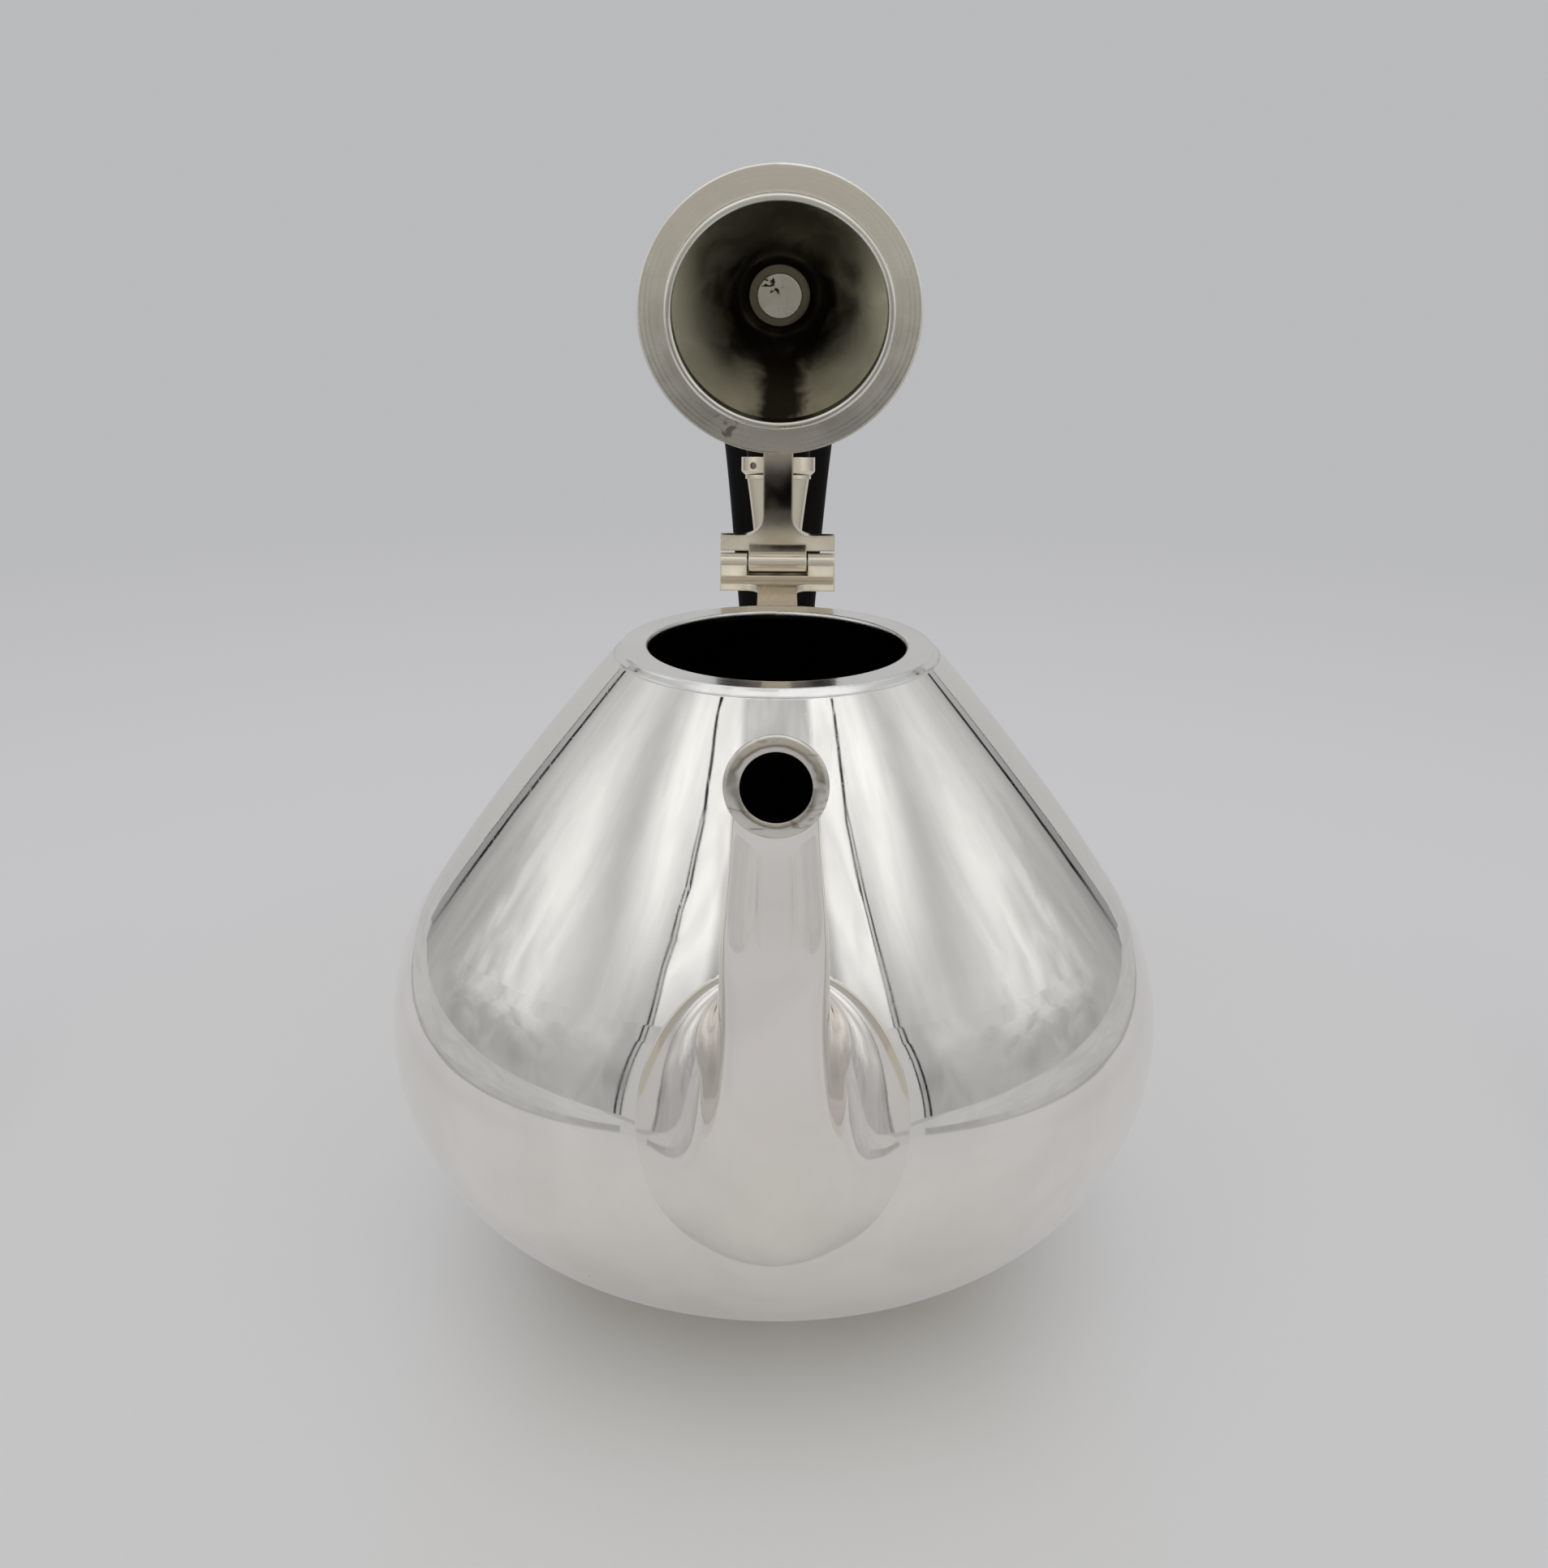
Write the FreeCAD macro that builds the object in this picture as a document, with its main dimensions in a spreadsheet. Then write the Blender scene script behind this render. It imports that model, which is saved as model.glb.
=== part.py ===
"""Silver teapot: round belly, flared spout, hinged conical lid and wooden loop handle.

Millimetres, +Z up. The origin is the centre of the base, the spout points towards -Y,
the handle towards +Y, and the lid stands open on its hinge.
"""
import FreeCAD, Part
import math
import os
from types import SimpleNamespace

import Sketcher

Vector = FreeCAD.Vector
X_AXIS = Vector(1, 0, 0)
Z_AXIS = Vector(0, 0, 1)

SIZES = {
    # Pot wall, base and rim
    "belly_radius": 70.3,
    "belly_height": 41.1,
    "belly_bend": 43.0,
    "base_inset": 32.6,
    "shoulder_bend": 500.0,
    "rim_height": 111.5,
    "rim_radius": 27.7,
    "rim_flare": 1.2,
    "rim_width": 4.8,
    "rim_thickness": 1.4,
    "mouth_wall": 1.2,
    "wall": 0.9,
    "edge_round": 0.35,
    "base_thickness": 0.8,
    "solder_gap": 0.04,
    # Spout
    "spout_overhang": 15.7,
    "spout_rise": 2.7,
    "spout_tilt": 5.0,
    "spout_bend": 11.0,
    "spout_drop": 20.0,
    "spout_tip_radius": 6.3,
    "spout_neck_radius": 6.7,
    "spout_throat_radius": 8.3,
    "spout_wall": 1.0,
    "lip_flare": 1.3,
    "lip_inset": 0.1,
    "lip_depth": 1.8,
    "lip_round": 0.7,
    "lip_crown": 4.0,
    "saddle_rise": 9.9,
    "saddle_half_width": 21.6,
    "saddle_half_height": 23.3,
    "saddle_step": 0.8,
    "port_radius": 13.0,
    "strainer_thickness": 0.7,
    "strainer_margin": 1.4,
    "strainer_hole": 1.6,
    "strainer_pitch": 5.2,
    # Hinge
    "hinge_gap": 21.5,
    "hinge_rise": 3.0,
    "hinge_width": 22.4,
    "knuckle_radius": 2.0,
    "knuckle_length": 11.4,
    "knuckle_gap": 0.3,
    "pin_radius": 0.9,
    "pin_fit": 0.06,
    "press_fit": 0.02,
    "leaf_thickness": 1.3,
    "leaf_bar": 7.4,
    "leaf_clear": 0.4,
    "neck_width": 7.6,
    "neck_round": 2.2,
    # Lid
    "lid_open_angle": 91.0,
    "lid_inset": 0.5,
    "lid_gap": 0.3,
    "lid_height": 29.0,
    "lid_top_radius": 6.5,
    "lid_top_round": 1.2,
    "lid_wall": 0.8,
    "flange_thickness": 1.0,
    "bezel_gap": 1.0,
    "bezel_wall": 1.4,
    "bezel_round": 0.5,
    "bezel_depth": 4.0,
    "arm_width": 5.8,
    "arm_thickness": 1.6,
    "arm_tilt": 5.5,
    "arm_round": 4.0,
    "arm_bar": 3.1,
    "arm_bar_inset": 2.3,
    "stud_radius": 1.4,
    "stud_head_radius": 4.6,
    "stud_head_thickness": 1.6,
    "stud_grip": 8.0,
    "knob_foot_radius": 4.8,
    "knob_radius": 6.5,
    "knob_height": 13.0,
    "knob_dome": 3.6,
    "knob_waist_bend": 12.0,
    # Handle
    "grip_gap": 12.5,
    "grip_rise": 18.1,
    "grip_lean": 79.0,
    "grip_back_heading": -80.0,
    "grip_end_heading": -140.0,
    "rise_bend": 17.0,
    "crown_bend": 26.0,
    "back_bend": 75.0,
    "grip_start_width": 12.4,
    "grip_rise_width": 18.2,
    "grip_top_width": 24.8,
    "grip_crown_width": 25.8,
    "grip_back_width": 22.8,
    "grip_mid_width": 18.2,
    "grip_low_width": 13.8,
    "grip_end_width": 11.2,
    "grip_depth": 9.6,
    "grip_end_depth": 8.6,
    "collar_height": 3.5,
    "collar_wall": 1.1,
    "collar_bevel": 0.7,
    "tenon_shoulder": 1.8,
    "lower_tenon_shoulder": 1.2,
    "tenon_cheek": 1.3,
    "tenon_length": 9.0,
    "lower_tenon_length": 5.0,
    "tenon_fit": 0.05,
    "socket_edge": 0.1,
    "socket_cheek": 0.7,
    "socket_side_wall": 0.55,
    "socket_face_wall": 1.2,
    "socket_bead": 0.25,
    "socket_bead_height": 0.8,
    "socket_stem_width": 7.4,
    "socket_stem_depth": 7.2,
    "socket_taper": 24.0,
    "lower_socket_land": 6.4,
    "lower_socket_flare": 2.0,
    "lower_socket_taper": 16.0,
    "cross_pin_radius": 0.65,
    "cross_pin_turn": 38.0,
}


class Size:
    """A number together with the sheet expression that gives it."""

    def __init__(self, value, text):
        self.value = value
        self.text = text

    def with_other(self, sign, other, value):
        return Size(value, "(%s %s %s)" % (self.text, sign, other.text))

    def __add__(self, other):
        other = as_size(other)
        return self.with_other("+", other, self.value + other.value)

    def __sub__(self, other):
        other = as_size(other)
        return self.with_other("-", other, self.value - other.value)

    def __mul__(self, other):
        other = as_size(other)
        return self.with_other("*", other, self.value * other.value)

    def __truediv__(self, other):
        other = as_size(other)
        return self.with_other("/", other, self.value / other.value)

    def __neg__(self):
        return as_size(0) - self


def as_size(number):
    return number if isinstance(number, Size) else Size(float(number), repr(float(number)))


def root(size):
    return Size(math.sqrt(size.value), "sqrt(%s)" % size.text)


def arc_sine(ratio):
    return Size(math.degrees(math.asin(ratio.value)), "(asin(%s) / 1 deg)" % ratio.text)


def sine(angle):
    return Size(math.sin(math.radians(angle.value)), "sin(%s)" % angle.text)


def cosine(angle):
    return Size(math.cos(math.radians(angle.value)), "cos(%s)" % angle.text)


doc = FreeCAD.newDocument("teapot")
sheet = doc.addObject("Spreadsheet::Sheet", "dims")
for row, (name, value) in enumerate(SIZES.items(), start=1):
    sheet.set("A%d" % row, name)
    sheet.set("B%d" % row, str(value))
    sheet.setAlias("B%d" % row, name)
doc.recompute()
s = SimpleNamespace(**{name: Size(float(sheet.get(name)), "dims." + name) for name in SIZES})

# Sizes that follow from the piece that each one fits.
s.base_radius = s.belly_radius - s.base_inset
s.shoulder_top_radius = s.rim_radius + s.rim_flare
s.mouth_radius = s.rim_radius - s.rim_width
s.spout_reach = s.belly_radius + s.spout_overhang
s.saddle_height = s.belly_height + s.saddle_rise
s.port_tilt = arc_sine(s.saddle_rise / s.belly_bend)
s.lip_radius = s.spout_tip_radius + s.lip_flare
s.lip_hole = s.spout_tip_radius - s.spout_wall - s.lip_inset
s.hinge_reach = s.rim_radius + s.hinge_gap
s.lid_radius = s.rim_radius - s.lid_inset
s.bezel_radius = s.mouth_radius - s.bezel_gap
s.grip_reach = s.hinge_reach + s.grip_gap
s.tenon_width = s.grip_start_width - s.tenon_shoulder * 2
s.lower_tenon_width = s.grip_end_width - s.lower_tenon_shoulder * 2
s.tenon_depth = s.grip_end_depth - s.tenon_cheek * 2
s.socket_width = s.grip_start_width + s.socket_edge * 2
s.lower_socket_width = s.grip_end_width + s.socket_cheek * 2
s.socket_depth = s.grip_end_depth + s.socket_cheek * 2


def new_body(name):
    body = doc.addObject("PartDesign::Body", name)
    body.Label = name
    return body


def sketch_on(body, name, role, height=None):
    """Starts a sketch on one of the body's own planes, lifted by height."""
    sketch = body.newObject("Sketcher::SketchObject", name)
    plane = next(item for item in body.Origin.OriginFeatures if item.Role == role)
    sketch.AttachmentSupport = [(plane, "")]
    sketch.MapMode = "FlatFace"
    if height is not None:
        sketch.setExpression("AttachmentOffset.Base.z", height.text)
    return sketch


def hold(sketch, kind, places, size):
    """Adds a dimension to a sketch and ties it to the sheet."""
    number = sketch.addConstraint(Sketcher.Constraint(kind, *places, size.value))
    sketch.setExpression("Constraints[%d]" % number, size.text)


def fix_point(sketch, geo, end, spot):
    """Holds a point of a sketch at a spot, where a plain 0 means on that axis."""
    across, along = spot
    if across == 0 and along == 0:
        sketch.addConstraint(Sketcher.Constraint("Coincident", geo, end, -1, 1))
        return
    if isinstance(across, Size):
        hold(sketch, "DistanceX", (-1, 1, geo, end), across)
    else:
        sketch.addConstraint(Sketcher.Constraint("PointOnObject", geo, end, -2))
    if isinstance(along, Size):
        hold(sketch, "DistanceY", (-1, 1, geo, end), along)
    else:
        sketch.addConstraint(Sketcher.Constraint("PointOnObject", geo, end, -1))


def bulge(start, stop, radius, turn):
    """Middle point of the arc from start to stop that turns left (1) or right (-1)."""
    chord = stop - start
    left = Vector(-chord.y, chord.x, 0).normalize()
    depth = math.sqrt(max(0.0, radius ** 2 - (chord.Length / 2) ** 2))
    centre = (start + stop) * 0.5 + left * (turn * depth)
    return centre - left * (turn * radius)


def outline(sketch, corners, bends=None, smooth=()):
    """Draws a closed outline and returns the numbers of its sides.

    bends[i] = (radius, turn) makes the side after corner i an arc. A corner listed in
    smooth is only a first guess: tangency of its two sides sets it.
    """
    bends = bends or {}
    spots = [Vector(as_size(x).value, as_size(y).value, 0) for x, y in corners]
    sides = []
    for i, start in enumerate(spots):
        stop = spots[(i + 1) % len(spots)]
        if i in bends:
            radius, turn = bends[i]
            middle = bulge(start, stop, radius.value, turn)
            geo = sketch.addGeometry(Part.Arc(start, middle, stop))
        else:
            geo = sketch.addGeometry(Part.LineSegment(start, stop))
        gap = sketch.getPoint(geo, 1).distanceToPoint(start)
        sides.append((geo, 1, 2) if gap < 1e-6 else (geo, 2, 1))
    for i, corner in enumerate(corners):
        before = sides[i - 1]
        after = sides[i]
        ends = (before[0], before[2], after[0], after[1])
        if i in smooth:
            sketch.addConstraint(Sketcher.Constraint("Tangent", *ends))
        else:
            sketch.addConstraint(Sketcher.Constraint("Coincident", *ends))
            fix_point(sketch, after[0], after[1], corner)
    for i, (radius, turn) in bends.items():
        hold(sketch, "Radius", (sides[i][0],), radius)
    return [side[0] for side in sides]


def circle(sketch, spot, radius):
    middle = Vector(as_size(spot[0]).value, as_size(spot[1]).value, 0)
    geo = sketch.addGeometry(Part.Circle(middle, Z_AXIS, radius.value))
    fix_point(sketch, geo, 3, spot)
    hold(sketch, "Radius", (geo,), radius)


def oval(sketch, width, depth):
    """Draws an ellipse at the sketch's origin, longer along its X."""
    wide = Vector(width.value / 2, 0, 0)
    deep = Vector(0, depth.value / 2, 0)
    geo = sketch.addGeometry(Part.Ellipse(wide, deep, Vector(0, 0, 0)))
    sketch.exposeInternalGeometry(geo)
    sketch.addConstraint(Sketcher.Constraint("Coincident", geo, 3, -1, 1))
    sketch.addConstraint(Sketcher.Constraint("Horizontal", geo + 1))
    hold(sketch, "Distance", (geo + 1,), width)
    hold(sketch, "Distance", (geo + 2,), depth)


def box_outline(sketch, low, high):
    """Draws the rectangle between two opposite corners."""
    corners = [low, (high[0], low[1]), high, (low[0], high[1])]
    outline(sketch, corners)


def place(item, path, spot, turn):
    """Ties a placement to the sheet: a spot (y, z) and a turn about X in degrees."""
    setattr(item, path, FreeCAD.Placement(Vector(), FreeCAD.Rotation(X_AXIS, turn.value)))
    item.setExpression(path + ".Base.y", spot[0].text)
    item.setExpression(path + ".Base.z", spot[1].text)
    item.setExpression(path + ".Rotation.Angle", turn.text)


def section(body, name, spot, heading):
    """Starts a sketch square to a path that passes spot (y, z) at a heading in degrees."""
    sketch = sketch_on(body, name, "XY_Plane")
    place(sketch, "AttachmentOffset", spot, heading - 90)
    return sketch


def onward(spot, heading, distance):
    return (spot[0] + distance * cosine(heading), spot[1] + distance * sine(heading))


def revolve(body, sketch, kind="Revolution"):
    feature = body.newObject("PartDesign::" + kind, body.Name + "_" + kind.lower())
    feature.Profile = sketch
    feature.ReferenceAxis = (sketch, ["V_Axis"])
    feature.Angle = 360
    return feature


def pad(body, sketch, length, kind="Pad", both_ways=False, flipped=False):
    feature = body.newObject("PartDesign::" + kind, sketch.Name + "_" + kind.lower())
    feature.Profile = sketch
    feature.setExpression("Length", length.text)
    if both_ways:
        feature.SideType = "Symmetric"
    feature.Reversed = flipped
    return feature


def loft(body, name, sections):
    feature = body.newObject("PartDesign::AdditiveLoft", name)
    feature.Profile = sections[0]
    feature.Sections = sections[1:]
    return feature


def ring_piece(name, corners, bends=None):
    """A turned piece: its half section swept round the Z axis."""
    body = new_body(name)
    sketch = sketch_on(body, name + "_section", "XZ_Plane")
    outline(sketch, corners, bends)
    revolve(body, sketch)
    return body


def round_rim(body, radius, height, fillet):
    """Rounds the circular edge of a turned piece at a radius and height."""
    doc.recompute()
    names = []
    for number, edge in enumerate(body.Shape.Edges, start=1):
        box = edge.BoundBox
        level_edge = abs(box.ZMin - height.value) + abs(box.ZMax - height.value) < 1e-3
        if level_edge and abs(box.XMax - radius.value) < 1e-3:
            names.append("Edge%d" % number)
    turned = body.Tip
    feature = body.newObject("PartDesign::Fillet", body.Name + "_round")
    feature.Base = (turned, names)
    feature.setExpression("Radius", fillet.text)


def cut(name, base, tool):
    feature = doc.addObject("Part::Cut", name)
    feature.Label = name
    feature.Base = base
    feature.Tool = tool
    return feature


# Pot wall: low arc, belly arc and long shoulder arc, each tangent to the next.
shell_top = s.rim_height - s.rim_thickness
belly_swell = s.belly_radius - s.base_radius
low_bend = (s.belly_height * s.belly_height + belly_swell * belly_swell) / (belly_swell * 2)


def shoulder_circle(top, inset):
    """Centre of the shoulder arc through top, and where it runs into the belly arc."""
    reach = s.shoulder_bend.value - inset
    small = s.belly_bend.value - inset
    belly = Vector(s.belly_radius.value - s.belly_bend.value, s.belly_height.value, 0)
    span = belly - top
    along = (span.Length ** 2 + reach ** 2 - (reach - small) ** 2) / (2 * span.Length)
    aside = math.sqrt(reach ** 2 - along ** 2)
    ahead = Vector(span).normalize()
    centre = top + ahead * along + Vector(ahead.y, -ahead.x, 0) * aside
    meeting = centre + (belly - centre).normalize() * reach
    return centre, meeting


def wall_outline(sketch, inset, top_radius, foot, top):
    """Draws the wall's half outline, inset from its outer face, closed along the axis."""
    meeting = shoulder_circle(Vector(top_radius.value, shell_top.value, 0), inset.value)[1]
    corners = [
        (0, 0),
        (s.base_radius, 0),
        *foot,
        (s.belly_radius - inset, s.belly_height),
        (as_size(meeting.x), as_size(meeting.y)),
        (top_radius, shell_top),
        *top,
    ]
    low = 1 + len(foot)
    bends = {
        low: (low_bend - inset, 1),
        low + 1: (s.belly_bend - inset, 1),
        low + 2: (s.shoulder_bend - inset, 1),
    }
    sides = outline(sketch, corners, bends, smooth=(low + 2,))
    hold(sketch, "DistanceY", (-1, 1, sides[low + 1], 3), s.belly_height)


no_inset = s.wall * 0
pot_form = new_body("pot_form")
form_sketch = sketch_on(pot_form, "pot_form_section", "XZ_Plane")
form_top = [(s.rim_radius, s.rim_height), (0, s.rim_height)]
wall_outline(form_sketch, no_inset, s.shoulder_top_radius, [], form_top)
revolve(pot_form, form_sketch)

body_shell = new_body("body_shell")
outer_sketch = sketch_on(body_shell, "body_outer", "XZ_Plane")
wall_outline(outer_sketch, no_inset, s.shoulder_top_radius, [], [(0, shell_top)])
revolve(body_shell, outer_sketch)
inner_sketch = sketch_on(body_shell, "body_inner", "XZ_Plane")
low_inner = low_bend - s.wall
low_centre = s.belly_radius - low_bend
foot_step = s.base_radius - low_centre
foot_top = s.belly_height - root(low_inner * low_inner - foot_step * foot_step)
inner_top_radius = s.shoulder_top_radius - s.mouth_wall
inner_foot = [(s.base_radius, foot_top)]
wall_outline(inner_sketch, s.wall, inner_top_radius, inner_foot, [(0, shell_top)])
revolve(body_shell, inner_sketch, "Groove")
belly_centre = s.belly_radius - s.belly_bend
port_heading = as_size(180) - s.port_tilt
port_sketch = section(body_shell, "spout_port", (-belly_centre, s.belly_height), port_heading)
circle(port_sketch, (0, 0), s.port_radius)
pad(body_shell, port_sketch, s.belly_radius, "Pocket", flipped=True)

plate_radius = s.base_radius - s.solder_gap
base_plate = ring_piece(
    "base_plate",
    [(0, 0), (plate_radius, 0), (plate_radius, s.base_thickness), (0, s.base_thickness)],
)

rim_ring = ring_piece(
    "rim_ring",
    [
        (s.mouth_radius, shell_top),
        (s.shoulder_top_radius, shell_top),
        (s.rim_radius, s.rim_height - s.edge_round),
        (s.rim_radius - s.edge_round, s.rim_height),
        (s.mouth_radius + s.edge_round, s.rim_height),
        (s.mouth_radius, s.rim_height - s.edge_round),
    ],
    {2: (s.edge_round, 1), 4: (s.edge_round, 1)},
)

# Spout: a bent tube that flares out over the belly as a saddle.
RING_POINTS = 16
FLARE_RINGS = 5
TUBE_HEADINGS = (-5.0, -32.0, -60.0, -88.0)
# Share of the flare's end direction: how far the chin turns in and the ears beside it turn out, and
# how hard the rails pull; the breadth sets how soon the ears go over into the chin.
CHIN_SLOWING = 0.55
CHIN_TURN_IN = 0.75
CHIN_BREADTH = 2.5
EAR_TURN_OUT = 0.25
EAR_PULL = 0.4
END_PULL = 0.75
shoulder_centre, shoulder_foot = shoulder_circle(
    Vector(s.shoulder_top_radius.value, shell_top.value, 0), 0.0
)


def wall_at(height):
    """Outer radius of the pot at a height, and the wall's outward slope there."""
    if height <= s.belly_height.value:
        centre = Vector(low_centre.value, s.belly_height.value, 0)
        radius = low_bend.value
    elif height <= shoulder_foot.y:
        centre = Vector(s.belly_radius.value - s.belly_bend.value, s.belly_height.value, 0)
        radius = s.belly_bend.value
    else:
        centre = shoulder_centre
        radius = s.shoulder_bend.value
    rise = height - centre.y
    out = math.sqrt(radius ** 2 - rise ** 2)
    return centre.x + out, Vector(out / radius, rise / radius, 0)


def skin(rings):
    """Smooth tube-like surface through rings of points."""
    turns = [i / RING_POINTS for i in range(RING_POINTS + 1)]
    rows = []
    for ring in rings:
        hoop = Part.BSplineCurve()
        hoop.interpolate(Points=ring, PeriodicFlag=True, Parameters=turns)
        rows.append(hoop.getPoles())
    places = [0.0]
    for ring, following in zip(rings, rings[1:]):
        gaps = [a.distanceToPoint(b) for a, b in zip(ring, following)]
        places.append(places[-1] + sum(gaps) / RING_POINTS)
    columns = []
    for column in zip(*rows):
        rail = Part.BSplineCurve()
        rail.interpolate(Points=list(column), Parameters=places)
        columns.append(rail.getPoles())
    surface = Part.BSplineSurface()
    surface.buildFromPolesMultsKnots(
        columns,
        hoop.getMultiplicities(),
        rail.getMultiplicities(),
        hoop.getKnots(),
        rail.getKnots(),
        True,
        False,
        hoop.Degree,
        rail.Degree,
    )
    return surface, places[-1]


def ring_angles():
    return [2 * math.pi * i / RING_POINTS for i in range(RING_POINTS)]


def tube_ring(centre, heading, radius):
    """Ring square to the spout's path; its first point is on the upper, rear side."""
    rear = Vector(0, -math.sin(heading), math.cos(heading))
    return [
        centre + X_AXIS * (radius * math.sin(a)) + rear * (radius * math.cos(a))
        for a in ring_angles()
    ]


def saddle_ring(half_width, half_height, lift):
    """Ring on the belly, with the wall's normal and the outward direction at each point."""
    ring = []
    for a in ring_angles():
        x = half_width * math.sin(a)
        z = s.saddle_height.value + half_height * math.cos(a)
        radius, slope = wall_at(z)
        y = -math.sqrt(radius ** 2 - x ** 2)
        normal = Vector(x / radius * slope.x, y / radius * slope.x, slope.y)
        outward = Vector(x, 0, z - s.saddle_height.value)
        outward = (outward - normal * outward.dot(normal)).normalize()
        ring.append((Vector(x, y, z) + normal * lift, normal, outward))
    return ring


def spout_form(inset, half_width, half_height, lift, spread):
    """Solid of the spout's outside, or of its bore when drawn in by inset."""
    tilt = math.radians(s.spout_tilt.value)
    bend = s.spout_bend.value
    tip = Vector(0, -s.spout_reach.value, s.rim_height.value + s.spout_rise.value)
    tip += Vector(0, math.cos(tilt), -math.sin(tilt)) * s.lip_depth.value
    growth = (s.spout_neck_radius.value - s.spout_tip_radius.value) / (len(TUBE_HEADINGS) - 1)
    rings = []
    for i, degrees in enumerate(TUBE_HEADINGS):
        heading = math.radians(degrees)
        ahead = bend * (math.sin(-tilt) - math.sin(heading))
        down = bend * (math.cos(heading) - math.cos(tilt))
        centre = tip + Vector(0, ahead, down)
        radius = s.spout_tip_radius.value + growth * i - inset
        rings.append(tube_ring(centre, heading, radius))
    run = Vector(0, math.cos(heading), math.sin(heading))
    middle = (s.spout_neck_radius.value + s.spout_throat_radius.value) / 2
    for part, radius in ((0.5, middle), (1.0, s.spout_throat_radius.value)):
        here = centre + run * (s.spout_drop.value * part)
        rings.append(tube_ring(here, heading, radius - inset))
    throat = rings[-1]
    saddle = saddle_ring(half_width, half_height, lift)
    for step in range(1, FLARE_RINGS + 1):
        t = step / FLARE_RINGS
        ring = []
        for a, start, (stop, normal, outward) in zip(ring_angles(), throat, saddle):
            chin = ((1 - math.cos(a)) / 2) ** CHIN_BREADTH * spread + (1 - spread)
            ear = 1 - chin
            rise = EAR_TURN_OUT * ear - CHIN_TURN_IN * chin
            arrive = (outward * (1 - CHIN_SLOWING * chin) + normal * rise).normalize()
            pull = END_PULL + EAR_PULL * ear
            span = start.distanceToPoint(stop)
            ring.append(
                start * (2 * t ** 3 - 3 * t ** 2 + 1)
                + run * (span * (t ** 3 - 2 * t ** 2 + t))
                + stop * (3 * t ** 2 - 2 * t ** 3)
                + arrive * (pull * span * (t ** 3 - t ** 2))
            )
        rings.append(ring)
    inner_plane = -belly_centre.value
    last = [Vector(point.x, inner_plane, point.z) for point in rings[-1]]
    surface, length = skin(rings)
    step, depth = skin([rings[-1], last])
    ends = [Part.Wire([surface.vIso(0.0).toShape()]), Part.Wire([step.vIso(depth).toShape()])]
    faces = [surface.toShape(), step.toShape()] + [Part.Face(end) for end in ends]
    shell = Part.Shell(faces)
    shell.sewShape()
    solid = Part.Solid(shell)
    if solid.Volume < 0:
        solid.reverse()
    return solid


spout_outer = doc.addObject("Part::Feature", "spout_outer")
spout_outer.Shape = spout_form(
    0.0, s.saddle_half_width.value, s.saddle_half_height.value, s.saddle_step.value, 1.0
)
spout_bore = doc.addObject("Part::Feature", "spout_bore")
spout_bore.Shape = spout_form(
    s.spout_wall.value, s.port_radius.value, s.port_radius.value, 0.0, 0.0
)
spout_hollow = cut("spout_hollow", spout_outer, spout_bore)
spout_tube = cut("spout_tube", spout_hollow, pot_form)

lip_back = -s.lip_depth
lip_edge = -s.edge_round
spout_lip = ring_piece(
    "spout_lip",
    [
        (s.lip_hole, lip_back),
        (s.spout_tip_radius, lip_back),
        (s.lip_radius, lip_edge - s.lip_round),
        (s.lip_radius - s.lip_round, lip_edge),
        (s.lip_hole, lip_edge),
    ],
    {2: (s.lip_round, 1), 3: (s.lip_crown, 1)},
)
spout_tip = (-s.spout_reach, s.rim_height + s.spout_rise)
place(spout_lip, "Placement", spout_tip, as_size(90) - s.spout_tilt)

# Strainer: a flat pierced disc across the port, its edge against the inside of the wall.
spout_strainer = new_body("spout_strainer")
strainer_radius = s.port_radius + s.strainer_margin
strainer_bend = s.belly_bend - s.wall - s.solder_gap
strainer_out = root(strainer_bend * strainer_bend - strainer_radius * strainer_radius)
strainer_sketch = sketch_on(spout_strainer, "strainer_plan", "XY_Plane")
circle(strainer_sketch, (0, 0), strainer_radius)
for row in (-2, -1, 0, 1, 2):
    for column in range(5 - abs(row)):
        across = s.strainer_pitch * (column - (4 - abs(row)) / 2)
        along = s.strainer_pitch * (row * math.sqrt(3) / 2)
        spot = (across if across.value else 0, along if row else 0)
        circle(strainer_sketch, spot, s.strainer_hole)
pad(spout_strainer, strainer_sketch, s.strainer_thickness, flipped=True)
strainer_spot = onward((-belly_centre, s.belly_height), port_heading, strainer_out)
place(spout_strainer, "Placement", strainer_spot, as_size(90) - s.port_tilt)

# Hinge. The axis lies along X behind the rim.
hinge_height = s.rim_height + s.hinge_rise
half_hinge = s.hinge_width / 2
hinge_front = s.hinge_reach - s.knuckle_radius
hinge_back = s.hinge_reach + s.knuckle_radius


def tee_plate(body, sketch, foot, bar_front, bar_back, half_neck, thickness, fillet):
    """A flat T along the sketch's Y: an arm from foot to a cross bar, with rounded inner corners."""
    corners = [
        (-half_neck, foot),
        (half_neck, foot),
        (half_neck, bar_front - fillet),
        (half_neck + fillet, bar_front),
        (half_hinge, bar_front),
        (half_hinge, bar_back),
        (-half_hinge, bar_back),
        (-half_hinge, bar_front),
        (-half_neck - fillet, bar_front),
        (-half_neck, bar_front - fillet),
    ]
    outline(sketch, corners, {2: (fillet, -1), 8: (fillet, -1)})
    pad(body, sketch, thickness)


def knuckle(body, name, length, kind, radius):
    sketch = sketch_on(body, name, "YZ_Plane")
    circle(sketch, (s.hinge_reach, hinge_height), radius)
    pad(body, sketch, length, kind, both_ways=True)


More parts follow.
